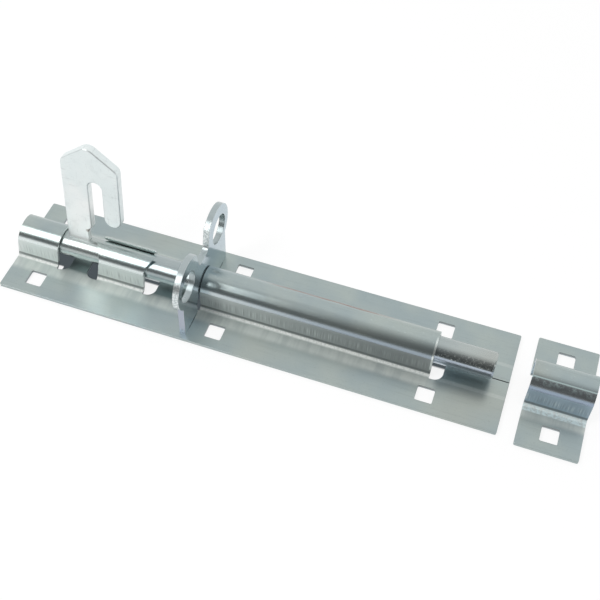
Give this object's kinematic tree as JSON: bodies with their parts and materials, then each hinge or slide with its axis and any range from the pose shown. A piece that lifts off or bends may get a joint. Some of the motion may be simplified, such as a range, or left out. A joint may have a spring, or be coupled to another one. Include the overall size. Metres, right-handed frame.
{
  "type": "padbolt",
  "caption": "Sliding padbolt with a swinging forked handle, an eared padlock lug and a separate arched keep.",
  "frame": {"origin": "centre of the base plate's back face", "axes": "+X along the bolt towards the keep, +Y across the plate towards its rear edge, +Z out of the door, away from the back face"},
  "size_m": [0.2877, 0.0624, 0.0749],
  "materials": {
    "zinc_sheet": "bright zinc plated pressed steel sheet",
    "zinc_bar": "bright zinc plated drawn steel bar",
    "zinc_plate": "bright zinc plated punched steel plate"
  },
  "bodies": {
    "plate_and_keep": {"base_plate": "zinc_sheet", "padlock_lug": "zinc_plate", "keep": "zinc_sheet"},
    "bolt": {"bolt_rod": "zinc_bar"},
    "handle": {"handle": "zinc_plate"}
  },
  "joints": [
    {"name": "bolt_slide", "type": "slide", "parent": "plate_and_keep", "child": "bolt", "axis": [1, 0, 0], "range_m": [0, 0.0535]},
    {"name": "handle_swing", "type": "hinge", "parent": "bolt", "child": "handle", "pos_m": [-0.09335, 0, 0.01125], "axis": [1, 0, 0], "range_deg": [-90, 102]}
  ]
}
